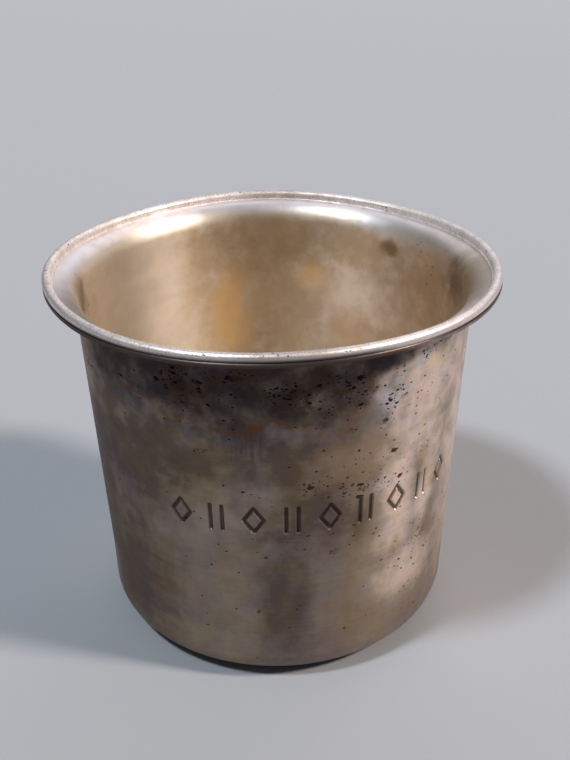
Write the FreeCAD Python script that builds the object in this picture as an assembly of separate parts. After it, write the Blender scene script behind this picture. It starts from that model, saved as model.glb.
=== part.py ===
# One-cup bar jigger: a spun silver cup with a trumpet lip, and a wire soldered on top of the lip's edge.
# Millimetres. +Z is up, the axis of the cup is Z, and the origin is the centre of the base.
# The side that carries the punched band faces -Y.

import FreeCAD, Part
import math
import os

os.makedirs("parts", exist_ok=True)

# Driving dimensions of the cup
rim_diameter = 48.0        # over the wire
height = 40.8              # base to the top of the wire
sheet = 0.5                # thickness of the metal
corner_radius = 4.1        # outside radius between base and wall
wall_low_radius = 19.26    # outside radius of the wall where the corner ends
wall_lean = 3.1            # degrees that the wall leans out from the vertical
flare_radius = 1.7         # outside of the bend from wall to lip
lip_lean = 85.0            # degrees from the vertical of the flat of the lip
lip_edge_round = 0.2       # the lower corner of the lip's edge, rounded off
lip_set_back = 0.04        # how far the top of the lip's edge stays inside the wire
wire_diameter = 1.0        # wire on the edge of the lip
wire_flat = 0.6            # width of the flat that the wire sits on

# Driving dimensions of the punched band
band_height = 21.3         # middle of the band above the base
mark_height = 3.2
lozenge_width = 2.4
stroke = 0.42              # width of every punched line
bar_gap = 1.2              # between the middles of the two bars of a pair
mark_depth = 0.15
first_mark = -28.0         # degrees round the cup, from -Y towards +X
mark_step = 10.7           # degrees
mark_count = 9

Vector = FreeCAD.Vector
AXIS = Vector(0, 0, 1)
ORIGIN = Vector(0, 0, 0)


def at(point):
    """A point of the section, given as (radius, height)."""
    return Vector(point[0], 0, point[1])


def along(point, angle, distance):
    """Move a section point by a distance, in the direction `angle` degrees out from the vertical."""
    turn = math.radians(angle)
    return (point[0] + distance * math.sin(turn), point[1] + distance * math.cos(turn))


def line(start, end):
    return Part.LineSegment(at(start), at(end)).toShape()


def arc(start, middle, end):
    return Part.Arc(at(start), at(middle), at(end)).toShape()


def spin(edges):
    """Turn a closed section round the axis into a solid."""
    face = Part.Face(Part.Wire(edges))
    return face.revolve(ORIGIN, AXIS, 360)


def offset(point, other, angle):
    """Distance from `other` to `point`, measured in the direction `angle` degrees from the vertical."""
    turn = math.radians(angle)
    return (point[0] - other[0]) * math.sin(turn) + (point[1] - other[1]) * math.cos(turn)


# Corner and wall, on the outside of the sheet
wall_side = wall_lean + 90             # direction straight out of the wall
lip_under = lip_lean + 90              # direction straight down out of the lip
corner_centre = (wall_low_radius - corner_radius * math.sin(math.radians(wall_side)), corner_radius)
wall_foot = along(corner_centre, wall_side, corner_radius)

# The wire sits with its flat on the top of the lip, over the lip's edge.
wire_radius = wire_diameter / 2
wire_centre = (rim_diameter / 2 - wire_radius, height - wire_radius)
flat_depth = math.sqrt(wire_radius ** 2 - (wire_flat / 2) ** 2)
flat_middle = along(wire_centre, lip_under, flat_depth)
lip_length = (rim_diameter / 2 - lip_set_back - flat_middle[0]) / math.sin(math.radians(lip_lean))
lip_edge = along(flat_middle, lip_lean, lip_length)

# The flare is tangent to the wall and to the lip: its centre is one radius away from each.
under_lip = along(flat_middle, lip_under, sheet + flare_radius)
to_wall = flare_radius - offset(under_lip, wall_foot, wall_side)
flare_centre = along(under_lip, lip_lean, to_wall / math.sin(math.radians(lip_lean - wall_lean)))


def flare_point(angle, radius):
    """The point of the flare where the sheet leans out by `angle` degrees."""
    return along(flare_centre, angle - 90, radius)


def cup_blank():
    """The cup before punching: base, corner, wall, flare and lip as one turned sheet."""
    corner_middle = (wall_side + 180) / 2
    flare_middle = (wall_lean + lip_lean) / 2
    inner_corner = corner_radius - sheet
    inner_foot = along(corner_centre, wall_side, inner_corner)
    flare_top = flare_radius + sheet
    edge_foot = along(lip_edge, lip_under, sheet - lip_edge_round)
    round_centre = along(edge_foot, lip_lean, -lip_edge_round)
    round_end = along(round_centre, lip_under, lip_edge_round)

    outside = [
        line((0, 0), (corner_centre[0], 0)),
        arc((corner_centre[0], 0), along(corner_centre, corner_middle, corner_radius), wall_foot),
        line(wall_foot, flare_point(wall_lean, flare_radius)),
        arc(flare_point(wall_lean, flare_radius),
            flare_point(flare_middle, flare_radius),
            flare_point(lip_lean, flare_radius)),
        line(flare_point(lip_lean, flare_radius), round_end),
    ]
    edge = [
        arc(round_end, along(round_centre, lip_lean + 45, lip_edge_round), edge_foot),
        line(edge_foot, lip_edge),
    ]
    inside = [
        line(lip_edge, flare_point(lip_lean, flare_top)),
        arc(flare_point(lip_lean, flare_top),
            flare_point(flare_middle, flare_top),
            flare_point(wall_lean, flare_top)),
        line(flare_point(wall_lean, flare_top), inner_foot),
        arc(inner_foot, along(corner_centre, corner_middle, inner_corner), (corner_centre[0], sheet)),
        line((corner_centre[0], sheet), (0, sheet)),
        line((0, sheet), (0, 0)),
    ]
    return spin(outside + edge + inside)


def plate(corners):
    """A flat punch face with straight sides, as thick as one stroke of the punch."""
    outline = Part.makePolygon([Vector(x, y, 0) for x, y in corners + corners[:1]])
    return Part.Face(outline).extrude(Vector(0, 0, 1))


def bar_punch():
    """Two upright bars side by side."""
    bars = []
    for middle in (-bar_gap / 2, bar_gap / 2):
        left = middle - stroke / 2
        right = middle + stroke / 2
        low = -mark_height / 2
        high = mark_height / 2
        bars.append(plate([(left, low), (right, low), (right, high), (left, high)]))
    return bars


def lozenge_punch():
    """The outline of an upright lozenge."""
    def lozenge(half_width, half_height):
        return plate([(half_width, 0), (0, half_height), (-half_width, 0), (0, -half_height)])

    half_width = lozenge_width / 2
    half_height = mark_height / 2
    slant = math.hypot(half_width, half_height)
    inner_width = half_width - stroke * slant / half_height
    inner_height = half_height - stroke * slant / half_width
    return [lozenge(half_width, half_height).cut(lozenge(inner_width, inner_height))]


def wall_radius(level):
    """Outside radius of the wall at a height above the base."""
    return wall_foot[0] + (level - wall_foot[1]) * math.tan(math.radians(wall_lean))


def struck(shape, angle):
    """Put a punch square on the wall at `angle` degrees round the cup, sunk by the mark's depth."""
    shape = shape.copy()
    shape.rotate(ORIGIN, Vector(1, 0, 0), 90 + wall_lean)
    depth = mark_depth / math.cos(math.radians(wall_lean))
    shape.translate(Vector(0, -wall_radius(band_height) + depth, band_height))
    shape.rotate(ORIGIN, AXIS, angle)
    return shape


def punches():
    """Every punch of the band: lozenges and pairs of bars in turn."""
    shapes = []
    for index in range(mark_count):
        punch = lozenge_punch() if index % 2 == 0 else bar_punch()
        angle = first_mark + index * mark_step
        shapes.extend(struck(shape, angle) for shape in punch)
    return shapes


def cup_shell():
    return cup_blank().cut(Part.makeCompound(punches()))


def rim_wire():
    """Round wire with the flat that sits on the top of the lip."""
    inner = along(flat_middle, lip_lean, -wire_flat / 2)
    outer = along(flat_middle, lip_lean, wire_flat / 2)
    crown = along(wire_centre, lip_under, -wire_radius)
    return spin([line(inner, outer), arc(outer, crown, inner)])


def single_solid(shape):
    """The one solid of a result, without the compound that a cut puts round it."""
    solids = shape.Solids
    assert len(solids) == 1 and solids[0].isValid()
    return solids[0]


for name, make in (("cup_shell", cup_shell), ("rim_wire", rim_wire)):
    single_solid(make()).exportStep(os.path.join("parts", name + ".step"))
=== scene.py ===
import math

import bmesh
import bpy
import numpy as np
from mathutils import Matrix, Vector


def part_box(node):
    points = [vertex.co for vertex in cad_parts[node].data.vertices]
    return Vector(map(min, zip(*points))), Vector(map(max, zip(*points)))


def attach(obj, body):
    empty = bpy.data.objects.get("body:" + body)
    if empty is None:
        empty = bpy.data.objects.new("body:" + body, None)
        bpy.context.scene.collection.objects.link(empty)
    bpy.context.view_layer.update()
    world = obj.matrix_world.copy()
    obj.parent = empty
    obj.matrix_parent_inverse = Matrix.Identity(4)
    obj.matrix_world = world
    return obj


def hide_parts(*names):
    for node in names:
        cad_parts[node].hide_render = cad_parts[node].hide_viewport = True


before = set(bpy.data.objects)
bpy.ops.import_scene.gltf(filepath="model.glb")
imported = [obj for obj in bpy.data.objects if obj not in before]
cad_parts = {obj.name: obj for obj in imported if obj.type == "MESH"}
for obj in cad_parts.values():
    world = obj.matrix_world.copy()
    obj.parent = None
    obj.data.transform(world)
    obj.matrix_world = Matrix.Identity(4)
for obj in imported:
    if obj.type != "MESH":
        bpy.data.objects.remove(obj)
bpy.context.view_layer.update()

# A spun silver jigger on a pale floor. Lengths in the script are millimetres until a mesh, a lamp or
# the camera is made, and angles round the cup are degrees from -Y (the punched side) towards +X.
MM = 0.001
cup_low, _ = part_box("cup_shell")
_, wire_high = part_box("rim_wire")

# ------------------------------------------------------------------ sizes of the cup
RIM_RADIUS = wire_high.x / MM
HEIGHT = wire_high.z / MM
SHEET = 0.5
CORNER_RADIUS = 4.1
WALL_LOW_RADIUS = 19.26
WALL_LEAN = 3.1
FLARE_RADIUS = 1.7
LIP_LEAN = 85.0
LIP_EDGE_ROUND = 0.2
LIP_SET_BACK = 0.04
WIRE_RADIUS = 0.5
WIRE_FLAT = 0.6

# The punched band
BAND_HEIGHT = 21.3
MARK_HEIGHT = 3.2
LOZENGE_WIDTH = 2.4
STROKE = 0.42
STROKE_SLOPE_IN = 0.06
STROKE_SLOPE_OUT = 0.05
BAR_GAP = 1.2
MARK_DEPTH = 0.18
# Metal pushed up beside a stroke: how high, how far from the stroke's edge, and how wide
BURR = 0.018
BURR_AWAY = 0.12
BURR_WIDTH = 0.09
FIRST_MARK = -28.0
MARK_STEP = 10.7
MARK_COUNT = 9


def along(point, angle, distance):
    """Move a section point (radius, height) by a distance, `angle` degrees from the vertical."""
    turn = math.radians(angle)
    return (point[0] + distance * math.sin(turn), point[1] + distance * math.cos(turn))


def offset(point, other, angle):
    """Distance from `other` to `point` in the direction `angle` degrees from the vertical."""
    turn = math.radians(angle)
    return (point[0] - other[0]) * math.sin(turn) + (point[1] - other[1]) * math.cos(turn)


WALL_SIDE = WALL_LEAN + 90
LIP_UNDER = LIP_LEAN + 90
CORNER_CENTRE = (WALL_LOW_RADIUS - CORNER_RADIUS * math.sin(math.radians(WALL_SIDE)), CORNER_RADIUS)
WALL_FOOT = along(CORNER_CENTRE, WALL_SIDE, CORNER_RADIUS)
WIRE_CENTRE = (RIM_RADIUS - WIRE_RADIUS, HEIGHT - WIRE_RADIUS)
FLAT_DEPTH = math.sqrt(WIRE_RADIUS ** 2 - (WIRE_FLAT / 2) ** 2)
FLAT_MIDDLE = along(WIRE_CENTRE, LIP_UNDER, FLAT_DEPTH)
LIP_EDGE = along(
    FLAT_MIDDLE, LIP_LEAN,
    (RIM_RADIUS - LIP_SET_BACK - FLAT_MIDDLE[0]) / math.sin(math.radians(LIP_LEAN)),
)
UNDER_LIP = along(FLAT_MIDDLE, LIP_UNDER, SHEET + FLARE_RADIUS)
TO_WALL = FLARE_RADIUS - offset(UNDER_LIP, WALL_FOOT, WALL_SIDE)
FLARE_CENTRE = along(UNDER_LIP, LIP_LEAN, TO_WALL / math.sin(math.radians(LIP_LEAN - WALL_LEAN)))
FLARE_START = along(FLARE_CENTRE, WALL_SIDE, -FLARE_RADIUS)


# ------------------------------------------------------------------ irregularities
# The rim isn't quite level: waves per turn, height of the wave, and where its crest is.
RIM_WAVES = ((1, 0.13, -48.0), (2, 0.08, 22.0), (3, 0.1, -70.0), (4, 0.12, 5.0))
# Height at which the rim's waves begin
RIM_WAVE_FOOT = 26.0
# The wall isn't quite round: waves per turn, depth, and where the wall stands proud.
ROUND_WAVES = ((2, 0.09, 20.0), (3, 0.05, 100.0), (5, 0.03, -40.0))
# Heights between which the wall's waves and dents set in, and those between which they end
PUSH_SETS_IN = (1.0, 9.0)
PUSH_ENDS = (34.0, 39.0)
# Shallow dents: degrees round, height, half width, half height, depth.
DENTS = (
    (-52, 27.0, 6.0, 7.0, 0.14),
    (-8, 10.0, 7.0, 5.0, 0.07),
    (24, 13.0, 5.0, 6.0, 0.09),
    (8, 33.0, 3.0, 2.5, 0.05),
    (58, 12.0, 4.0, 4.0, 0.08),
    (118, 22.0, 6.0, 8.0, 0.12),
    (170, 15.0, 7.0, 6.0, 0.1),
    (-130, 24.0, 6.0, 5.0, 0.11),
)


def smooth_step(low, high, value):
    """0 up to low, 1 from high on, and a smooth rise between them."""
    share = np.clip((value - low) / (high - low), 0, 1)
    return share * share * (3 - 2 * share)


def rim_wave(turn):
    """Height that the rim stands above or below its level, at angles in degrees."""
    return sum(size * np.cos(np.radians(count * (turn - crest))) for count, size, crest in RIM_WAVES)


def wall_push(turn, height):
    """How far the sheet is pushed outwards, the same for its inside and its outside."""
    push = sum(size * np.cos(np.radians(count * (turn - crest))) for count, size, crest in ROUND_WAVES)
    for where, middle, half_width, half_height, depth in DENTS:
        across = (turn - where + 180) % 360 - 180
        sideways = np.radians(across) * WALL_LOW_RADIUS
        reach = np.hypot(sideways / half_width, (height - middle) / half_height)
        push = push - depth * np.exp(-2 * reach ** 2)
    return push * smooth_step(*PUSH_SETS_IN, height) * (1 - smooth_step(*PUSH_ENDS, height))


# ------------------------------------------------------------------ the punched marks
def stroke_depth(distance):
    """Depth of a punched line at a distance from its middle, with sloping sides."""
    return 1 - smooth_step(STROKE / 2 - STROKE_SLOPE_IN, STROKE / 2 + STROKE_SLOPE_OUT, distance)


def segment_distance(x, y, start, end):
    """Distance of points from the straight line between start and end."""
    run = np.array(end) - np.array(start)
    share = np.clip(((x - start[0]) * run[0] + (y - start[1]) * run[1]) / run.dot(run), 0, 1)
    return np.hypot(x - start[0] - share * run[0], y - start[1] - share * run[1])


def mark_lines(index):
    """Middle lines of the strokes of one mark: a lozenge, or a pair of bars."""
    half_height = (MARK_HEIGHT - STROKE) / 2
    if index % 2:
        return [((x, -half_height), (x, half_height)) for x in (-BAR_GAP / 2, BAR_GAP / 2)]
    half_width = (LOZENGE_WIDTH - STROKE) / 2
    corners = [(half_width, 0), (0, half_height), (-half_width, 0), (0, -half_height)]
    return list(zip(corners, corners[1:] + corners[:1]))


def mark_depth(turn, height):
    """Depth of the punched band at angles and heights outside, with the metal pushed up beside it."""
    depth = np.zeros_like(turn)
    burr = np.zeros_like(turn)
    radius = WALL_FOOT[0] + (BAND_HEIGHT - WALL_FOOT[1]) * math.tan(math.radians(WALL_LEAN))
    for index in range(MARK_COUNT):
        x = np.radians(turn - FIRST_MARK - index * MARK_STEP) * radius
        y = height - BAND_HEIGHT
        near = (np.abs(x) < LOZENGE_WIDTH) & (np.abs(y) < MARK_HEIGHT)
        for start, end in mark_lines(index):
            distance = segment_distance(x[near], y[near], start, end)
            depth[near] = np.maximum(depth[near], stroke_depth(distance))
            from_burr = (distance - STROKE / 2 - BURR_AWAY) / BURR_WIDTH
            burr[near] = np.maximum(burr[near], np.exp(-from_burr ** 2))
    return depth * MARK_DEPTH - burr * (1 - depth) * BURR


# ------------------------------------------------------------------ where the tarnish and the painted light lie
# Ovals on the sheet: degrees round, height, half width and half height in millimetres. The first list
# of each kind is for the outside and the second for the inside. Three kinds also paint light and shade.
STAINS_AND_LIGHT = {
    # Heavy ovals: outside, plum tarnish that is also painted shade under the rim; inside, brown spots.
    "heavy_and_shaded": (
        (
            (-40, 37.6, 6.0, 2.4), (-27, 36.6, 6.5, 3.8), (-14, 36.0, 6.0, 4.0), (0, 36.4, 6.5, 3.4),
            (13, 35.8, 5.2, 4.0), (28, 38.0, 5.0, 1.9), (-52, 36.0, 3.5, 2.4),
            (-96, 37.0, 8.0, 2.8), (-128, 36.4, 9.0, 3.6), (-162, 37.2, 8.0, 2.6),
            (150, 36.8, 9.0, 3.6), (112, 37.6, 8.0, 2.2), (92, 37.4, 5.0, 2.4),
        ),
        (
            (180, 36.0, 8.0, 4.0), (-88, 37.2, 2.6, 2.8), (137, 36.5, 1.2, 0.9), (96, 35.8, 3.6, 3.2),
            (82, 37.8, 3.4, 1.8), (20, 34.0, 8.0, 5.0), (-60, 22.0, 6.0, 6.0),
        ),
    ),
    "dull": (
        (
            (-53, 24.5, 5.5, 6.0), (-50, 32.4, 5.0, 3.0), (20, 31.5, 3.0, 2.4),
            (24, 20.5, 2.0, 3.0), (-70, 18.0, 8.0, 9.0), (-57, 10.0, 7.0, 8.0), (-30, 28.6, 7.0, 3.8),
            (-8, 28.5, 8.0, 3.6), (2, 10.0, 2.6, 6.0), (10, 22.0, 5.0, 4.0), (-110, 26.0, 9.0, 6.0),
            (-150, 14.0, 9.0, 7.0), (165, 28.0, 7.0, 6.0), (126, 12.0, 8.0, 6.0), (96, 24.0, 6.0, 7.0),
        ),
        (
            (178, 28.0, 5.5, 8.0), (-153, 32.0, 2.5, 5.0), (150, 35.6, 5.0, 2.6),
            (150, 24.0, 3.0, 6.0), (-170, 14.0, 8.0, 6.0), (60, 20.0, 8.0, 9.0),
            (-20, 24.0, 7.0, 8.0), (0, 0.5, 40.0, 2.0), (84, 39.4, 7.0, 2.2), (-60, 39.4, 6.0, 1.6),
            (118, 33.5, 6.0, 3.4),
        ),
    ),
    # Bright ovals: cleaner silver, and painted highlights outside towards +X and on the inside wall and
    # lip.
    "clean_and_highlit": (
        (
            (44, 31.0, 6.0, 8.0), (8, 34.5, 1.1, 1.5), (37, 22.5, 2.8, 8.5), (60, 33.5, 6.0, 5.0),
            (45, 11.0, 5.0, 3.2), (49, 20.5, 2.0, 4.5),
            (70, 20.0, 5.5, 15.0), (-106, 7.0, 9.0, 3.2), (140, 20.0, 3.0, 9.0), (-172, 26.0, 3.4, 5.0),
        ),
        (
            (-122, 31.0, 9.0, 8.0), (-96, 39.4, 7.0, 2.4), (-165, 39.6, 8.0, 1.6), (130, 39.6, 7.0, 1.8),
            (149, 29.0, 3.0, 2.2), (168, 31.0, 1.6, 1.6), (40, 26.0, 5.0, 8.0),
            (-90, 24.0, 6.0, 6.0),
        ),
    ),
    # Golden ovals: gold-brown tarnish outside; inside, a painted orange glow and glint reflected in the
    # wall.
    "golden": (
        ((-70, 33.0, 3.0, 3.0), (21, 28.0, 3.5, 3.5), (130, 32.0, 4.0, 3.0)),
        ((-164, 26.5, 2.0, 4.5), (-164, 22.8, 0.9, 0.9), (166, 31.4, 1.5, 1.4), (-30, 30.0, 3.0, 5.0)),
    ),
    "streaked": (
        (
            (-10.5, 30.4, 1.0, 2.6), (-4.6, 29.4, 1.1, 2.2), (110, 30.0, 2.4, 4.0),
            (-148, 26.0, 2.2, 4.0),
        ),
        ((-150, 20.0, 3.0, 5.0), (150, 12.0, 3.0, 5.0)),
    ),
    "specked": (
        (
            (34, 34.0, 8.0, 4.0), (26, 26.0, 7.0, 4.0), (-24, 35.0, 6.0, 3.0), (46, 14.0, 3.0, 4.0),
            (8, 18.0, 8.0, 1.0), (-110, 33.0, 10.0, 4.0), (150, 30.0, 12.0, 5.0), (-170, 16.0, 6.0, 6.0),
        ),
        ((104, 36.5, 6.0, 3.0), (-90, 36.0, 3.0, 3.0)),
    ),
    "pitted": (
        (
            (-25, 36.0, 2.2, 1.9), (-10, 37.0, 2.4, 0.8), (4, 35.4, 2.0, 1.1), (18, 35.2, 3.0, 1.9),
            (33, 33.4, 1.3, 0.9), (46, 36.8, 1.6, 0.7), (30, 31.0, 0.9, 1.0), (33, 27.0, 1.0, 0.7),
            (9, 24.9, 1.0, 1.0), (24, 23.7, 3.6, 0.9),
            (-20, 29.0, 0.9, 0.5), (49, 14.6, 0.9, 1.1), (43, 8.6, 0.9, 0.8), (-4, 17.2, 0.7, 0.6),
            (16, 16.8, 0.6, 0.5),
            (54, 37.6, 3.0, 0.8), (-66, 33.0, 1.4, 1.0), (-104, 31.0, 2.6, 1.6), (-140, 34.0, 2.8, 1.8),
            (-168, 22.0, 1.6, 1.0), (158, 35.0, 3.0, 1.4), (128, 27.0, 1.8, 1.6), (98, 33.0, 2.2, 1.2),
        ),
        (
            (-90, 36.6, 1.6, 1.6), (100, 36.5, 3.0, 1.8), (137, 36.5, 0.9, 0.9),
            (32, 33.0, 1.8, 2.4),
        ),
    ),
}


NO_STAIN_NOR_LIGHT = -2.0


def stain_and_light_field(ovals, turn, height):
    """1 at the middle of an oval, 0 on its edge, and down to NO_STAIN_NOR_LIGHT away from all of them."""
    field = np.full_like(turn, NO_STAIN_NOR_LIGHT)
    for where, middle, half_width, half_height in ovals:
        across = np.radians((turn - where + 180) % 360 - 180) * (WALL_LOW_RADIUS + 1)
        reach = np.hypot(across / half_width, (height - middle) / half_height)
        field = np.maximum(field, 1 - reach)
    return field


# ------------------------------------------------------------------ section of the cup
# Lengths of the mesh's faces up the section
BASE_STEP = 0.9
WALL_STEP = 0.66
INNER_WALL_STEP = 1.0
LIP_STEP = 0.25
INNER_LIP_STEP = 0.2
LIP_EDGE_STEP = 0.15
# Numbers of faces in the section's arcs
CORNER_STEPS = 22
INNER_CORNER_STEPS = 18
FLARE_STEPS = 16
INNER_FLARE_STEPS = 20
LIP_EDGE_STEPS = 5
# The section stops this far from the axis, and a fan closes the round hole.
AXIS_HOLE = 0.4


def spaced(start, end, step):
    """Points from start up to, but not including, end."""
    count = max(1, round(math.dist(start, end) / step))
    return [tuple(np.array(start) + (np.array(end) - np.array(start)) * i / count) for i in range(count)]


def swept(centre, radius, first, last, count):
    """Points of an arc between two directions, leaving out its last point."""
    return [along(centre, first + (last - first) * i / count, radius) for i in range(count)]


def cup_section():
    """The outside and the inside of the section as lists of (radius, height).

    The outside runs from the middle of the base to the lip's edge, and the inside from there back
    to the middle of the floor inside.
    """
    edge_foot = along(LIP_EDGE, LIP_UNDER, SHEET - LIP_EDGE_ROUND)
    round_centre = along(edge_foot, LIP_LEAN, -LIP_EDGE_ROUND)
    round_end = along(round_centre, LIP_UNDER, LIP_EDGE_ROUND)
    lip_start = along(FLARE_CENTRE, LIP_UNDER, -FLARE_RADIUS)
    flare_top = FLARE_RADIUS + SHEET
    inner_corner = CORNER_RADIUS - SHEET
    inner_foot = along(CORNER_CENTRE, WALL_SIDE, inner_corner)
    outside = (
        spaced((AXIS_HOLE, 0), (CORNER_CENTRE[0], 0), BASE_STEP)
        + swept(CORNER_CENTRE, CORNER_RADIUS, 180, WALL_SIDE, CORNER_STEPS)
        + spaced(WALL_FOOT, FLARE_START, WALL_STEP)
        + swept(FLARE_CENTRE, FLARE_RADIUS, WALL_LEAN - 90, LIP_LEAN - 90, FLARE_STEPS)
        + spaced(lip_start, round_end, LIP_STEP)
        + swept(round_centre, LIP_EDGE_ROUND, LIP_UNDER, LIP_LEAN, LIP_EDGE_STEPS)
        + spaced(edge_foot, LIP_EDGE, LIP_EDGE_STEP)
    )
    inside = (
        spaced(LIP_EDGE, along(FLARE_CENTRE, LIP_UNDER, -flare_top), INNER_LIP_STEP)
        + swept(FLARE_CENTRE, flare_top, LIP_LEAN - 90, WALL_LEAN - 90, INNER_FLARE_STEPS)
        + spaced(along(FLARE_CENTRE, WALL_SIDE, -flare_top), inner_foot, INNER_WALL_STEP)
        + swept(CORNER_CENTRE, inner_corner, WALL_SIDE, 180, INNER_CORNER_STEPS)
        + spaced((CORNER_CENTRE[0], SHEET), (AXIS_HOLE, SHEET), BASE_STEP)
        + [(AXIS_HOLE, SHEET)]
    )
    return outside, inside


def shaped(turn, radius, height, outside):
    """Positions in metres of sheet points, with the cup's irregularities and its punched marks."""
    push = wall_push(turn, height)
    band = outside & (np.abs(height - BAND_HEIGHT) < MARK_HEIGHT)
    punched = np.zeros_like(turn)
    punched[band] = mark_depth(turn[band], height[band])
    radius = radius + push - punched
    height = height + rim_wave(turn) * smooth_step(RIM_WAVE_FOOT, HEIGHT - 1, height)
    angle = np.radians(turn)
    return np.stack([radius * np.sin(angle), -radius * np.cos(angle), height], axis=-1) * MM


def new_object(name, mesh):
    piece = bpy.data.objects.new(name, mesh)
    bpy.context.scene.collection.objects.link(piece)
    return piece


def spin_section(section, columns):
    """Every section point turned round the axis: degrees, radii, heights, and the grid of faces."""
    rows = len(section)
    turn = np.tile(np.arange(columns) * 360.0 / columns - 180, rows)
    radius = np.repeat([p[0] for p in section], columns)
    height = np.repeat([p[1] for p in section], columns)
    faces = []
    for row in range(rows - 1):
        here = row * columns
        for column in range(columns):
            after = (column + 1) % columns
            faces.append((here + column, here + after, here + columns + after, here + columns + column))
    return turn, radius, height, faces


CUP_COLUMNS = 300
# Each face of the punched band is cut this many times both ways.
BAND_CUTS = 6
# The finer faces reach a little past the marks: millimetres up and down, and degrees round.
BAND_MARGIN = 0.3
BAND_MARGIN_TURN = 5


def make_cup():
    """The cup, first laid out flat (x is degrees round, y is height, z is 1 outside), then bent."""
    outside, inside = cup_section()
    section = outside + inside
    turn, radius, height, faces = spin_section(section, CUP_COLUMNS)
    outer_rows = len(outside)
    is_outside = np.repeat(np.arange(len(section)) < outer_rows, CUP_COLUMNS)

    mesh = bpy.data.meshes.new("cup")
    flat = np.stack([turn, height, is_outside.astype(float)], axis=-1)
    mesh.from_pydata(flat.tolist(), [], faces)
    data = bmesh.new()
    data.from_mesh(mesh)
    data.verts.ensure_lookup_table()
    layer = data.verts.layers.float.new("radius")
    for vertex, value in zip(data.verts, radius):
        vertex[layer] = value

    # Finer faces where the marks are punched
    low = BAND_HEIGHT - MARK_HEIGHT / 2 - BAND_MARGIN
    high = BAND_HEIGHT + MARK_HEIGHT / 2 + BAND_MARGIN
    first = FIRST_MARK - BAND_MARGIN_TURN
    last = FIRST_MARK + (MARK_COUNT - 1) * MARK_STEP + BAND_MARGIN_TURN
    band = set()
    for face in data.faces:
        middle = face.calc_center_median()
        wraps = max(v.co.x for v in face.verts) - min(v.co.x for v in face.verts) > 180
        is_outer = middle.z > 0.99
        if is_outer and low < middle.y < high and first < middle.x < last and not wraps:
            band.update(face.edges)
    bmesh.ops.subdivide_edges(data, edges=list(band), cuts=BAND_CUTS, use_grid_fill=True)
    data.verts.ensure_lookup_table()

    turn, height, side = np.array([v.co for v in data.verts]).T
    radius = np.array([v[layer] for v in data.verts])
    is_outside = side > 0.5
    placed = shaped(turn, radius, height, is_outside)
    values = {"punched": mark_depth(turn, height) * is_outside / MARK_DEPTH, "inner": 1 - side}
    for kind, both_sides in STAINS_AND_LIGHT.items():
        fields = [stain_and_light_field(ovals, turn, height) for ovals in both_sides]
        values[kind] = np.where(is_outside, *fields)
    layers = {kind: data.verts.layers.float.new(kind) for kind in values}
    for index, vertex in enumerate(data.verts):
        vertex.co = placed[index]
        for kind, store in layers.items():
            vertex[store] = values[kind][index]

    # The two round holes of the grid are closed with fans.
    for row, level in ((0, cup_low.z), (len(section) - 1, cup_low.z + SHEET * MM)):
        middle = data.verts.new((0, 0, level))
        for kind in STAINS_AND_LIGHT:
            middle[layers[kind]] = NO_STAIN_NOR_LIGHT
        middle[layers["inner"]] = float(row > 0)
        data.verts.ensure_lookup_table()
        ring = [data.verts[row * CUP_COLUMNS + column] for column in range(CUP_COLUMNS)]
        for one, two in zip(ring, ring[1:] + ring[:1]):
            data.faces.new((middle, one, two))
    bmesh.ops.recalc_face_normals(data, faces=data.faces)
    inner = data.verts.layers.float["inner"]
    for face in data.faces:
        face.smooth = True
        face.material_index = int(sum(vertex[inner] for vertex in face.verts) > 0.5)
    data.to_mesh(mesh)
    data.free()
    return new_object("silver_cup", mesh)


WIRE_COLUMNS = 360
WIRE_SIDES = 26
# Solder fills the corner between the wire and the lip on the inner side: how far it runs onto the
# lip, how far round the wire it ends (degrees from the vertical), and where its hollow is cut.
SOLDER_RUN = 0.35
SOLDER_TOP = -95
SOLDER_SHARES = (0, 0.2, 0.4, 0.6, 0.8)


def bend(start, knee, end, share):
    """A point on the curve that leaves start towards knee and reaches end."""
    start, knee, end = (np.array(point) for point in (start, knee, end))
    return start * (1 - share) ** 2 + knee * 2 * share * (1 - share) + end * share ** 2


def make_wire():
    """The wire: a round section with the flat that sits on the lip, following the rim's waves."""
    inner = along(FLAT_MIDDLE, LIP_LEAN, -WIRE_FLAT / 2 - SOLDER_RUN / 3)
    outer = along(FLAT_MIDDLE, LIP_LEAN, WIRE_FLAT / 2)
    open_half = math.degrees(math.asin(WIRE_FLAT / 2 / WIRE_RADIUS))
    last = LIP_UNDER - open_half
    shoulder = along(WIRE_CENTRE, SOLDER_TOP, WIRE_RADIUS)
    toe = along(FLAT_MIDDLE, LIP_LEAN, -WIRE_FLAT / 2 - SOLDER_RUN)
    hollow = [tuple(bend(toe, inner, shoulder, share)) for share in SOLDER_SHARES]
    upper = swept(WIRE_CENTRE, WIRE_RADIUS, SOLDER_TOP, last, WIRE_SIDES)
    section = hollow + upper + spaced(outer, toe, INNER_LIP_STEP)
    turn, radius, height, faces = spin_section(section + section[:1], WIRE_COLUMNS)
    count = len(section) * WIRE_COLUMNS
    faces = [tuple(corner % count for corner in face) for face in faces]
    placed = shaped(turn[:count], radius[:count], height[:count], np.zeros(count, bool))
    mesh = bpy.data.meshes.new("wire")
    mesh.from_pydata(placed.tolist(), [], faces)
    data = bmesh.new()
    data.from_mesh(mesh)
    bmesh.ops.recalc_face_normals(data, faces=data.faces)
    for face in data.faces:
        face.smooth = True
    data.to_mesh(mesh)
    data.free()
    return new_object("silver_rim_wire", mesh)


# ------------------------------------------------------------------ materials
# Sockets of a mix node that mixes colours
MIX_SHARE = 0
MIX_FIRST = 6
MIX_SECOND = 7
MIX_RESULT = 2


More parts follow.
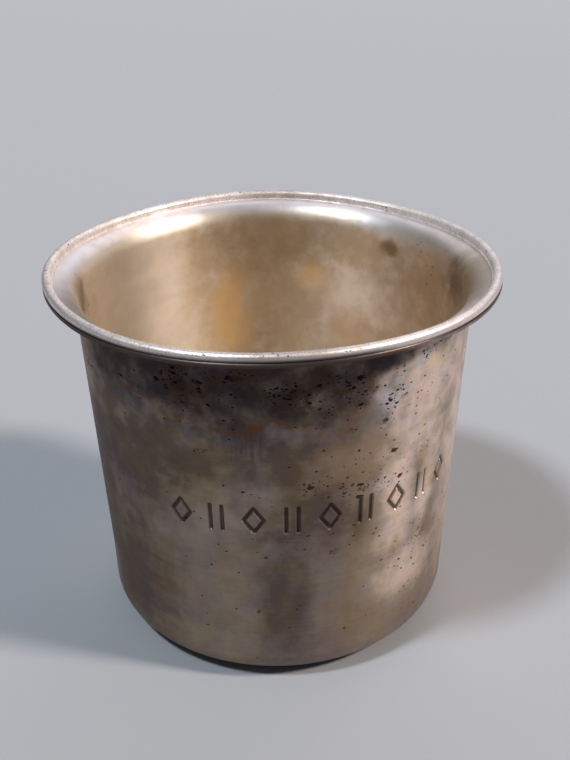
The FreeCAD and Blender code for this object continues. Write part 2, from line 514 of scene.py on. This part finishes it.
class Paint:
    """A material and short ways to add nodes to it."""

    def __init__(self, name):
        self.material = bpy.data.materials.new(name)
        self.material.use_nodes = True
        self.nodes = self.material.node_tree.nodes
        self.links = self.material.node_tree.links
        self.shader = self.nodes["Principled BSDF"]

    def put(self, socket, value):
        """Link a node's output to a socket, or set the socket to a number or a colour."""
        if isinstance(value, bpy.types.NodeSocket):
            self.links.new(value, socket)
        elif value is not None:
            if socket.type == "RGBA" and len(value) == 3:
                value = (*value, 1)
            socket.default_value = value

    def node(self, kind, settings=None, **inputs):
        node = self.nodes.new(kind)
        for key, value in (settings or {}).items():
            setattr(node, key, value)
        for key, value in inputs.items():
            self.put(node.inputs[key.replace("_", " ")], value)
        return node

    def math(self, operation, one, two=None):
        node = self.node("ShaderNodeMath", {"operation": operation})
        self.put(node.inputs[0], one)
        self.put(node.inputs[1], two)
        return node.outputs[0]

    def times(self, one, two):
        return self.math("MULTIPLY", one, two)

    def plus(self, one, two):
        return self.math("ADD", one, two)

    def span(self, value, low, high, start=0.0, end=1.0, smooth=True):
        """Carry a value from one range to another, held at both ends."""
        kind = "SMOOTHSTEP" if smooth else "LINEAR"
        node = self.node("ShaderNodeMapRange", {"interpolation_type": kind})
        for socket, entry in zip(node.inputs, (value, low, high, start, end)):
            self.put(socket, entry)
        return node.outputs[0]

    def blend(self, kind, share, one, two):
        node = self.node("ShaderNodeMix", {"data_type": "RGBA", "blend_type": kind})
        self.put(node.inputs[MIX_SHARE], share)
        self.put(node.inputs[MIX_FIRST], one)
        self.put(node.inputs[MIX_SECOND], two)
        return node.outputs[MIX_RESULT]

    def mix(self, share, one, two):
        return self.blend("MIX", share, one, two)

    def tinge(self, share, tint, colour):
        """Multiply a colour by another one, by a share."""
        return self.blend("MULTIPLY", share, tint, colour)

    def noise(self, vector, scale, detail=2.0, roughness=0.5):
        node = self.node("ShaderNodeTexNoise", Vector=vector, Scale=scale, Detail=detail,
                         Roughness=roughness)
        return node.outputs[0]

    def sum_up(self, parts):
        """Add (value, factor) pairs."""
        result = None
        for value, factor in parts:
            term = self.times(value, factor)
            result = term if result is None else self.plus(result, term)
        return result

    def stretch(self, vector, scale):
        node = self.node("ShaderNodeMapping", Vector=vector)
        node.inputs["Scale"].default_value = scale
        return node.outputs[0]


# Specks and pits: how much wider than high they are, how ragged, how soft their edges are, and the
# size of the smallest ones as a share of `size`
PIT_FLATTENED = 1.7
PIT_RAGGED = 0.9
PIT_RAGGED_SCALE = 2.2
PIT_EDGE = 0.06
PIT_SMALLEST = 0.3
# Share of each sideways coordinate that is kept, so that the spun grain runs round the cup
GRAIN_ACROSS = 0.05


class Surface(Paint):
    """A material with the cup's own coordinates in millimetres."""

    def __init__(self, name):
        super().__init__(name)
        place = self.node("ShaderNodeTexCoord").outputs["Object"]
        self.place = self.scaled(place, 1 / MM)
        x, y, self.height = self.node("ShaderNodeSeparateXYZ", Vector=self.place).outputs
        squares = self.plus(self.times(x, x), self.times(y, y))
        self.radius = self.math("SQRT", squares)
        self.across = x
        self.away = y
        # Distance along the sheet, up the wall or out from the middle of the base
        run = self.node("ShaderNodeCombineXYZ", X=self.times(x, GRAIN_ACROSS),
                        Y=self.times(y, GRAIN_ACROSS), Z=self.plus(self.height, self.radius))
        self.run = run.outputs[0]
        # A wandering offset makes the edges of stains and of painted light uneven, and distances towards
        # +X too.
        self.wander = self.noise(self.place, 0.45, detail=5, roughness=0.62)
        self.sideways = self.plus(self.across, self.wander)

    def scaled(self, vector, factor):
        node = self.node("ShaderNodeVectorMath", {"operation": "SCALE"}, Vector=vector, Scale=factor)
        return node.outputs[0]

    def stain_and_light(self, kind, soft=0.5, uneven=1.2):
        """1 inside the ovals of a kind, stains and painted light alike, and 0 outside, with uneven edges.
        """
        field = self.attribute(kind)
        drift = self.times(self.math("SUBTRACT", self.wander, 0.5), uneven)
        return self.span(self.plus(field, drift), -soft / 2, soft / 2)

    def shade_in_middle(self, right_start, right_share):
        """The share of painted shade that is kept: most in the middle, less towards -X and +X."""
        return self.times(self.span(self.sideways, right_start, 14.0, 0.9, right_share),
                          self.span(self.sideways, -21.0, -15.0, 0.55, 1.0))

    def pits(self, scale, amount, size):
        """Small pits, wider than high: `amount` is the share of cells that hold one."""
        ragged = self.node("ShaderNodeTexNoise", Vector=self.place,
                           Scale=scale * PIT_RAGGED_SCALE, Detail=3.0)
        shifted = self.node("ShaderNodeVectorMath", {"operation": "MULTIPLY_ADD"})
        self.put(shifted.inputs[0], ragged.outputs["Color"])
        shifted.inputs[1].default_value = (PIT_RAGGED / scale,) * 3
        self.put(shifted.inputs[2], self.stretch(self.place, (1, 1, PIT_FLATTENED)))
        cells = self.node("ShaderNodeTexVoronoi", Vector=shifted.outputs[0], Scale=scale, Randomness=1.0)
        random = self.node("ShaderNodeSeparateColor", Color=cells.outputs["Color"]).outputs
        size_here = self.times(self.math("POWER", random[1], 2.0), size)
        reach = self.plus(size_here, size * PIT_SMALLEST)
        beyond = self.math("SUBTRACT", cells.outputs["Distance"], reach)
        inside = self.span(beyond, PIT_EDGE, -PIT_EDGE)
        chosen = self.math("LESS_THAN", random[0], amount)
        return self.times(inside, chosen)

    def bump(self, relief, strength):
        """Relief from 0 to 1 that stands BUMP_DEPTH millimetres high."""
        node = self.node("ShaderNodeBump", Height=relief, Strength=strength, Distance=BUMP_DEPTH * MM)
        self.put(self.shader.inputs["Normal"], node.outputs[0])

    def attribute(self, name):
        return self.node("ShaderNodeAttribute", {"attribute_name": name}).outputs["Fac"]


# Silver and its tarnish, from clean to heaviest
CLEAN = (0.9, 0.72, 0.6)
BEIGE = (0.36, 0.29, 0.21)
BEIGE_COOL = (0.35, 0.28, 0.24)
BROWN = (0.15, 0.108, 0.073)
BROWN_COOL = (0.14, 0.1, 0.088)
PLUM = (0.046, 0.03, 0.026)
PLUM_COOL = (0.04, 0.026, 0.034)
BLACK = (0.004, 0.003, 0.003)

# Stains on the outside, and colours painted as shade on the corner and, with tarnish, on the lip's edge
GOLDEN_STAIN = (0.3, 0.19, 0.11)
RUST = (0.11, 0.055, 0.03)
RUST_FRINGE = (0.13, 0.056, 0.022)
PIT_BROWN = (0.045, 0.027, 0.012)
CORNER_SHADE = (0.025, 0.018, 0.015)
LIP_EDGE_BROWN = (0.075, 0.05, 0.04)

# Faint tinges that a colour is multiplied by
FRINGE_BLUE = (0.72, 0.84, 1.08)
FAINT_BLUE = (0.84, 0.96, 1.25)
FAINT_OLIVE = (1.06, 1.0, 0.68)
FAINT_ROSE = (1.15, 0.92, 0.95)
FAINT_GREY = (0.94, 1.0, 1.13)
FAINT_BROWN = (0.74, 0.72, 0.7)

# The inside, and the lip
PALE_GOLD = (0.95, 0.86, 0.75)
DULL_GOLD = (0.66, 0.51, 0.35)
HONEY = (0.8, 0.56, 0.25)
OLIVE_GOLD = (0.62, 0.55, 0.4)
ORANGE_GLOW = (1.0, 0.69, 0.33)
INSIDE_BROWN = (0.38, 0.26, 0.13)
INSIDE_SPOT = (0.2, 0.12, 0.06)
INSIDE_PIT = (0.09, 0.06, 0.035)
LIP_PALE = (0.88, 0.8, 0.81)
LIP_DULL = (0.66, 0.56, 0.53)
LIP_TARNISH = (0.42, 0.36, 0.3)
LIP_BRIGHT = (0.97, 0.93, 0.97)
CREASE_BROWN = (0.06, 0.042, 0.036)

# The wire
WIRE_PALE = (0.97, 0.93, 0.92)
WIRE_WORN = (0.64, 0.55, 0.51)
WIRE_UNDERSIDE_SHADE = (0.1, 0.072, 0.062)
WIRE_FILM = (0.78, 0.64, 0.6)
WIRE_DIRT = (0.1, 0.07, 0.055)
WIRE_SPECK = (0.05, 0.035, 0.03)

# The reflections are drawn out by the grain of the spun silver, which runs round the cup.
SPUN_GRAIN = 0.6
SPUN_GRAIN_TURN = 0.25
BUMP_DEPTH = 0.1

# Heights and radii between which the tarnish and the painted shade change
PATCHY_HEIGHTS = (10.0, 28.0)
BLACK_PIT_HEIGHTS = (29.0, 34.0)
UNDER_LIP_HEIGHTS = (37.3, 38.8)
LIP_EDGE_HEIGHTS = (39.2, 39.45)
CORNER_HEIGHTS = (1.6, 0.5)
CORNER_RADII = (14.6, 16.0)
STANDING_HEIGHTS = (0.12, 0.02)
STANDING_RADII = (13.0, 14.6)
LIP_TINT_HEIGHTS = (38.9, 40.2)
CREASE_RADII = (RIM_RADIUS - 0.45, RIM_RADIUS - 0.3)
WIRE_FLANK_RADII = (RIM_RADIUS - 0.6, RIM_RADIUS - 0.3)
WIRE_INNER_RADII = (RIM_RADIUS - 0.6, RIM_RADIUS - 0.85)
WIRE_FOOT_RADII = (RIM_RADIUS - 0.85, RIM_RADIUS - 1.1)


def outside_tarnish(silver, cloud, mottle, spun):
    """How much light tarnish there is on the wall: 0 is clean, 0.35 beige, 0.75 brown."""
    drawn = silver.noise(silver.stretch(silver.place, (0.7, 0.7, 0.12)), 1.0, detail=3, roughness=0.6)
    dull = silver.stain_and_light("dull", soft=1.4)
    # These ovals are cleaner silver, and towards +X also a painted highlight.
    clean_and_highlit = silver.stain_and_light("clean_and_highlit", soft=1.7, uneven=0.8)
    # The tarnish is patchier towards the rim than near the base.
    patchy = silver.math("SUBTRACT", silver.sum_up(((cloud, 0.6), (mottle, 0.5))), 0.55)
    patchy = silver.times(patchy, silver.span(silver.height, *PATCHY_HEIGHTS, 0.5, 1.05))
    tarnish = silver.sum_up((
        (patchy, 1.0), (drawn, 0.12), (spun, 0.12), (dull, 0.25), (clean_and_highlit, -0.46),
    ))
    return silver.plus(tarnish, 0.4)


def with_faint_hues(silver, tint):
    """Broad bluish, olive and rosy patches."""
    patches = silver.node("ShaderNodeTexNoise", Vector=silver.place, Scale=0.33, Detail=4.0,
                          Roughness=0.6)
    bluish, olive, rosy = silver.node("ShaderNodeSeparateColor", Color=patches.outputs["Color"]).outputs
    tint = silver.tinge(silver.span(bluish, 0.48, 0.68, 0.0, 0.32), tint, FAINT_BLUE)
    tint = silver.tinge(silver.span(olive, 0.48, 0.68, 0.0, 0.36), tint, FAINT_OLIVE)
    return silver.tinge(silver.span(rosy, 0.48, 0.68, 0.0, 0.32), tint, FAINT_ROSE)


def with_shaded_and_worn_base(silver, tint, mottle):
    """Painted shade low on the rounded corner, and a ring worn lighter where the cup stands."""
    corner = silver.times(silver.span(silver.height, *CORNER_HEIGHTS),
                          silver.span(silver.radius, *CORNER_RADII))
    tint = silver.mix(silver.times(corner, 0.85), tint, CORNER_SHADE)
    stood_on = silver.times(silver.span(silver.height, *STANDING_HEIGHTS),
                            silver.span(silver.radius, *STANDING_RADII))
    worn = silver.times(stood_on, silver.span(mottle, 0.35, 0.6))
    return silver.mix(silver.times(worn, 0.8), tint, CLEAN)


def outside_material():
    """Tarnished silver: beige and brown on the wall, plum tarnish and painted shade under the rim, with
    black pits.
    """
    silver = Surface("tarnished_silver")
    cloud = silver.noise(silver.place, 0.1, detail=4, roughness=0.55)
    mottle = silver.noise(silver.place, 0.4, detail=5, roughness=0.6)
    spun = silver.noise(silver.stretch(silver.run, (1, 1, 3.2)), 1.0, detail=3, roughness=0.7)
    heavy_and_shaded = silver.stain_and_light("heavy_and_shaded", soft=0.9)
    golden = silver.stain_and_light("golden", soft=1.2)
    # Under the lip the plum tarnish is also painted shade: dark in front and behind, lighter towards the
    # sides.
    kept_shade = silver.shade_in_middle(9.0, 0.15)
    shade_under_rim = silver.times(silver.span(silver.height, *UNDER_LIP_HEIGHTS),
                             silver.span(kept_shade, 0.1, 0.8, 0.3, 1.0))

    tarnish = outside_tarnish(silver, cloud, mottle, spun)
    hue = silver.span(silver.noise(silver.place, 0.16, detail=3), 0.36, 0.64)
    beige = silver.mix(hue, BEIGE, BEIGE_COOL)
    brown = silver.mix(hue, BROWN, BROWN_COOL)
    tint = silver.mix(silver.span(tarnish, 0.0, 0.35, smooth=False), CLEAN, beige)
    tint = silver.mix(silver.span(tarnish, 0.35, 0.75, smooth=False), tint, brown)
    tint = silver.mix(silver.span(tarnish, 0.72, 1.15, 0.0, 0.65, smooth=False), tint, PLUM_COOL)
    tint = silver.mix(silver.times(golden, 0.4), tint, GOLDEN_STAIN)

    # Where heavy tarnish thins out it shows a rust-brown rim, and a bluish one outside it.
    rim_field = silver.plus(silver.attribute("heavy_and_shaded"),
                            silver.times(silver.math("SUBTRACT", silver.wander, 0.5), 1.2))
    bluish_fringe = silver.times(silver.span(rim_field, -0.75, -0.45), silver.span(rim_field, -0.1, -0.4))
    tint = silver.tinge(silver.times(bluish_fringe, 0.8), tint, FRINGE_BLUE)
    # Plum over the dark ovals and under the lip: tarnish, and painted shade below the rim.
    plum = silver.times(silver.math("MAXIMUM", heavy_and_shaded, shade_under_rim),
                        silver.span(mottle, 0.3, 0.62, 0.7, 0.97))
    tint = silver.mix(plum, tint, silver.mix(hue, PLUM, PLUM_COOL))
    tint = with_faint_hues(silver, tint)
    rusty = silver.times(silver.span(rim_field, -0.36, -0.2), silver.span(rim_field, 0.04, -0.14))
    rusty = silver.times(rusty, silver.span(silver.plus(cloud, mottle), 0.98, 1.14, 0.04, 0.7))
    tint = silver.mix(rusty, tint, RUST_FRINGE)

    tint = with_shaded_and_worn_base(silver, tint, mottle)
    # The lip's edge: brown tarnish and painted shade, darker in front and behind and lighter towards the
    # sides.
    edge = silver.times(silver.span(silver.height, *LIP_EDGE_HEIGHTS), kept_shade)
    tint = silver.mix(edge, tint, LIP_EDGE_BROWN)
    wiped = silver.noise(silver.stretch(silver.place, (2.6, 2.6, 0.22)), 1.0, detail=3, roughness=0.6)
    streaks = silver.times(silver.span(wiped, 0.47, 0.6), silver.stain_and_light("streaked", soft=1.0))
    tint = silver.mix(silver.times(streaks, 0.32), tint, PLUM)
    punched = silver.attribute("punched")
    tint = silver.mix(silver.span(punched, 0.5, 0.95, 0.0, 0.85), tint, PLUM)

    clusters = silver.stain_and_light("pitted", soft=0.8, uneven=0.8)
    specked = silver.stain_and_light("specked", soft=1.4)
    large = silver.sum_up(((clusters, 0.45), (specked, 0.03)))
    small = silver.plus(silver.sum_up(((clusters, 0.6), (specked, 0.15))), 0.01)
    pits = silver.math("MAXIMUM", silver.pits(1.2, large, 0.42), silver.pits(2.6, small, 0.4))
    smudge = silver.times(silver.span(mottle, 0.48, 0.66), clusters)
    tint = silver.mix(silver.times(smudge, 0.45), tint, RUST)
    blot = silver.span(silver.plus(silver.attribute("pitted"), silver.times(mottle, 0.8)), 0.9, 1.25)
    tint = silver.mix(silver.times(blot, 0.75), tint, PIT_BROWN)
    # Pits are brown low on the wall and black near the rim.
    near_rim = silver.span(silver.plus(silver.height, silver.wander), *BLACK_PIT_HEIGHTS)
    tint = silver.mix(silver.times(pits, 0.93), tint, silver.mix(near_rim, PIT_BROWN, BLACK))

    dark = silver.math("MAXIMUM", plum, silver.span(tarnish, 0.2, 0.9, smooth=False))
    rough = silver.sum_up(((dark, 0.14), (mottle, 0.16), (spun, 0.06), (pits, 0.4), (blot, 0.1)))
    silver.put(silver.shader.inputs["Base Color"], tint)
    silver.put(silver.shader.inputs["Metallic"], silver.span(dark, 0.0, 1.0, 0.95, 0.72, smooth=False))
    silver.put(silver.shader.inputs["Roughness"], silver.plus(rough, 0.36))
    silver.put(silver.shader.inputs["Anisotropic"], SPUN_GRAIN)
    silver.put(silver.shader.inputs["Anisotropic Rotation"], SPUN_GRAIN_TURN)
    silver.bump(silver.sum_up(((mottle, 0.6), (spun, 0.12), (pits, -0.3))), 0.6)
    return silver.material


def inside_material():
    """The inside: a golden tarnish that fades into paler, pinkish silver on the lip."""
    silver = Surface("golden_silver")
    mottle = silver.noise(silver.place, 0.4, detail=5, roughness=0.6)
    spun = silver.noise(silver.stretch(silver.run, (1, 1, 3.2)), 1.0, detail=3, roughness=0.7)
    heavy_and_shaded = silver.stain_and_light("heavy_and_shaded", soft=1.3)
    dull = silver.stain_and_light("dull", soft=1.6)
    # Inside, these ovals paint highlights on the wall and the lip.
    clean_and_highlit = silver.stain_and_light("clean_and_highlit", soft=1.5)
    golden = silver.stain_and_light("golden", soft=1.6, uneven=2.2)
    shade = silver.sum_up(((mottle, 0.7), (silver.wander, 0.5), (dull, 0.25), (clean_and_highlit, -0.3)))
    tint = silver.mix(silver.span(shade, 0.35, 0.95), PALE_GOLD, DULL_GOLD)
    # A honey halo round the golden ovals inside, around the painted glow.
    around_glow = silver.stain_and_light("golden", soft=6.0, uneven=2.4)
    tint = silver.mix(silver.times(around_glow, 0.55), tint, HONEY)
    hue = silver.span(silver.noise(silver.place, 0.2, detail=4), 0.4, 0.62)
    tint = silver.mix(silver.times(hue, 0.3), tint, OLIVE_GOLD)
    # The side towards +X is greyer.
    greyer = silver.span(silver.sideways, -1.0, 9.0, 0.0, 0.9)
    tint = silver.tinge(greyer, tint, FAINT_GREY)
    # The orange inside is a painted reflection: a glow and a glint.
    tint = silver.mix(silver.times(golden, 0.75), tint, ORANGE_GLOW)
    tint = silver.mix(silver.times(heavy_and_shaded, 0.65), tint, INSIDE_BROWN)

    lip = silver.span(silver.plus(silver.height, silver.times(silver.wander, 0.7)), *LIP_TINT_HEIGHTS)
    lip_tint = silver.mix(silver.span(mottle, 0.38, 0.66), LIP_PALE, LIP_DULL)
    lip_tint = silver.mix(silver.times(dull, 0.85), lip_tint, LIP_TARNISH)
    lip_tint = silver.mix(silver.times(clean_and_highlit, 0.8), lip_tint, LIP_BRIGHT)
    tint = silver.mix(lip, tint, lip_tint)
    # A dark line where the wire meets the lip's edge
    crease = silver.span(silver.radius, *CREASE_RADII)
    tint = silver.mix(silver.times(crease, 0.9), tint, CREASE_BROWN)

    clusters = silver.stain_and_light("pitted", soft=1.3, uneven=1.9)
    density = silver.sum_up(((clusters, 0.25), (silver.stain_and_light("specked", soft=1.4), 0.08)))
    pits = silver.pits(2.0, density, 0.42)
    tint = silver.mix(silver.times(clusters, 0.6), tint, INSIDE_SPOT)
    tint = silver.mix(silver.times(pits, 0.5), tint, INSIDE_PIT)

    rough = silver.sum_up(((mottle, 0.2), (spun, 0.08), (lip, -0.04)))
    silver.put(silver.shader.inputs["Base Color"], tint)
    silver.put(silver.shader.inputs["Metallic"], silver.span(heavy_and_shaded, 0.0, 1.0, 1.0, 0.85))
    silver.put(silver.shader.inputs["Roughness"], silver.plus(rough, 0.34))
    silver.put(silver.shader.inputs["Anisotropic"], SPUN_GRAIN)
    silver.put(silver.shader.inputs["Anisotropic Rotation"], SPUN_GRAIN_TURN)
    silver.bump(silver.sum_up(((mottle, 0.6), (spun, 0.12), (pits, -0.2))), 0.5)
    return silver.material


def wire_material():
    """The wire: brighter, worn silver with dark specks, and painted shade on its underside."""
    silver = Surface("worn_silver_wire")
    mottle = silver.noise(silver.place, 0.5, detail=6, roughness=0.65)
    grain = silver.noise(silver.place, 5.0, detail=4, roughness=0.7)
    wear = silver.span(silver.sum_up(((mottle, 0.5), (grain, 0.5))), 0.4, 0.62)
    tint = silver.mix(wear, WIRE_PALE, WIRE_WORN)

    # The outer flank, below, has painted shade: dark in front and behind, lighter towards the sides.
    normal = silver.node("ShaderNodeNewGeometry").outputs["Normal"]
    upward = silver.node("ShaderNodeSeparateXYZ", Vector=normal).outputs[2]
    below = silver.span(silver.plus(upward, silver.times(wear, 0.2)), 0.42, -0.3)
    below = silver.times(below, silver.span(silver.radius, *WIRE_FLANK_RADII))
    tint = silver.mix(silver.times(below, silver.shade_in_middle(8.0, 0.1)), tint, WIRE_UNDERSIDE_SHADE)

    # A thin dull film is left on the flank towards +X and all round the inner side.
    flank_film = silver.times(below, silver.span(silver.sideways, 9.0, 15.0))
    tint = silver.mix(silver.times(flank_film, 0.7), tint, WIRE_FILM)
    inner_side = silver.span(silver.radius, *WIRE_INNER_RADII)
    film = silver.math("MAXIMUM", silver.times(flank_film, 0.6), silver.times(inner_side, 0.45))
    middle_stain = silver.times(silver.span(silver.sideways, -4.5, -1.5),
                                silver.span(silver.sideways, 9.0, 4.0))
    tint = silver.tinge(silver.times(middle_stain, 0.9), tint, FAINT_BROWN)

    # Dirt is left along the inner foot of the wire, in front and towards -X.
    dirt = silver.times(silver.span(silver.radius, *WIRE_FOOT_RADII),
                        silver.span(silver.away, -4.0, -14.0))
    dirt = silver.times(dirt, silver.span(silver.plus(silver.across, grain), 14.0, 4.0))
    dirt = silver.times(dirt, silver.span(grain, 0.35, 0.55, 0.4, 0.9))
    tint = silver.mix(dirt, tint, WIRE_DIRT)

    # Specks: a few large ones all round, and fine ones mostly towards -X
    large_specks = silver.pits(2.2, silver.span(silver.wander, 0.45, 0.75, 0.03, 0.25), 0.35)
    fine_specks = silver.pits(4.6, silver.span(silver.sideways, 4.0, -6.0, 0.04, 0.34), 0.36)
    specks = silver.math("MAXIMUM", large_specks, silver.times(fine_specks, 0.8))
    tint = silver.mix(silver.times(specks, 0.75), tint, WIRE_SPECK)

    silver.put(silver.shader.inputs["Base Color"], tint)
    metal = silver.math("SUBTRACT", silver.span(wear, 0.0, 1.0, 1.0, 0.9), film)
    silver.put(silver.shader.inputs["Metallic"], metal)
    silver.put(silver.shader.inputs["Roughness"], silver.span(wear, 0.0, 1.0, 0.42, 0.56))
    silver.bump(silver.sum_up(((mottle, 0.5), (grain, 0.3), (specks, -0.3))), 0.6)
    return silver.material


# ------------------------------------------------------------------ the pieces
cup = make_cup()
cup.data.materials.append(outside_material())
cup.data.materials.append(inside_material())
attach(cup, "root")
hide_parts("cup_shell")

wire = make_wire()
wire.data.materials.append(wire_material())
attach(wire, "root")
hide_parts("rim_wire")


# ------------------------------------------------------------------ floor, light and camera
FLOOR_GREY = (0.37, 0.39, 0.42)
FLOOR_RADIUS_METRES = 4.0
FAR_LAMP_DISTANCE = 1000
PANEL_DISTANCE = 1600
# The camera is close up on the punched side and looks down at the cup. Its angles are in degrees.
CAMERA_PLACE = (0, -109.3, 81.9)
CAMERA_PITCH = 26.93
CAMERA_YAW = 0.59
CAMERA_ROLL = -0.83
CAMERA_LENS = 52.1
CAMERA_SENSOR_WIDTH = 36
CAMERA_CLIP_METRES = 0.01


def make_floor():
    mesh = bpy.data.meshes.new("floor")
    data = bmesh.new()
    bmesh.ops.create_circle(data, cap_ends=True, radius=FLOOR_RADIUS_METRES, segments=96)
    data.to_mesh(mesh)
    data.free()
    floor = new_object("floor", mesh)
    surface = Paint("pale_floor")
    surface.put(surface.shader.inputs["Base Color"], FLOOR_GREY)
    surface.put(surface.shader.inputs["Roughness"], 0.9)
    surface.put(surface.shader.inputs["Specular IOR Level"], 0.2)
    floor.data.materials.append(surface.material)


def place_lamp(light, turn, elevation, distance):
    """Put a lamp round the cup, so that it faces the middle of the cup."""
    lamp = bpy.data.objects.new(light.name, light)
    level = math.cos(math.radians(elevation))
    away = Vector((
        level * math.sin(math.radians(turn)),
        -level * math.cos(math.radians(turn)),
        math.sin(math.radians(elevation)),
    ))
    target = Vector((0, 0, HEIGHT / 2 * MM))
    lamp.location = target + away * distance * MM
    lamp.rotation_euler = (-away).to_track_quat("-Z", "Y").to_euler()
    bpy.context.scene.collection.objects.link(lamp)


def make_far_lamp(name, turn, elevation, width, strength, colour):
    """A round soft lamp far away, `width` degrees across."""
    light = bpy.data.lights.new(name, "SUN")
    light.angle = math.radians(width)
    light.energy = strength
    light.color = colour
    place_lamp(light, turn, elevation, FAR_LAMP_DISTANCE)


def make_panel(name, turn, elevation, size, power, colour):
    """A large square light panel."""
    light = bpy.data.lights.new(name, "AREA")
    light.shape = "SQUARE"
    light.size = size * MM
    light.energy = power
    light.color = colour
    place_lamp(light, turn, elevation, PANEL_DISTANCE)


def make_world(colour, strength):
    world = bpy.data.worlds.new("studio")
    world.use_nodes = True
    back = world.node_tree.nodes["Background"]
    back.inputs["Color"].default_value = (*colour, 1)
    back.inputs["Strength"].default_value = strength
    bpy.context.scene.world = world


def make_camera():
    """Put the camera in its place, turned by its yaw, its pitch and then its roll."""
    pitch = math.radians(CAMERA_PITCH)
    yaw = math.radians(CAMERA_YAW)
    roll = math.radians(CAMERA_ROLL)
    forward = Vector((
        math.sin(yaw) * math.cos(pitch),
        math.cos(yaw) * math.cos(pitch),
        -math.sin(pitch),
    ))
    level_right = forward.cross(Vector((0, 0, 1))).normalized()
    level_up = level_right.cross(forward)
    right = level_right * math.cos(roll) + level_up * math.sin(roll)
    up = level_up * math.cos(roll) - level_right * math.sin(roll)
    view = bpy.data.cameras.new("camera")
    view.sensor_width = CAMERA_SENSOR_WIDTH
    view.lens = CAMERA_LENS
    view.clip_start = CAMERA_CLIP_METRES
    camera = bpy.data.objects.new("camera", view)
    turn = Matrix((right, up, -forward)).transposed().to_4x4()
    camera.matrix_world = Matrix.Translation(Vector(CAMERA_PLACE) * MM) @ turn
    bpy.context.scene.collection.objects.link(camera)
    bpy.context.scene.camera = camera


make_floor()
make_far_lamp("cool_lamp", turn=-52, elevation=62, width=8.0, strength=1.85, colour=(0.86, 0.93, 1.0))
make_far_lamp("warm_lamp", turn=73, elevation=41, width=8.0, strength=2.7, colour=(1.0, 0.86, 0.76))
make_panel("back_panel", turn=150, elevation=42, size=1300, power=5.0, colour=(0.98, 0.95, 1.0))
make_panel("low_panel", turn=-165, elevation=36, size=1100, power=2.2, colour=(1.0, 0.97, 0.95))
make_world(colour=(0.95, 0.95, 1.0), strength=0.13)
make_camera()
bpy.context.scene.view_settings.view_transform = "Standard"
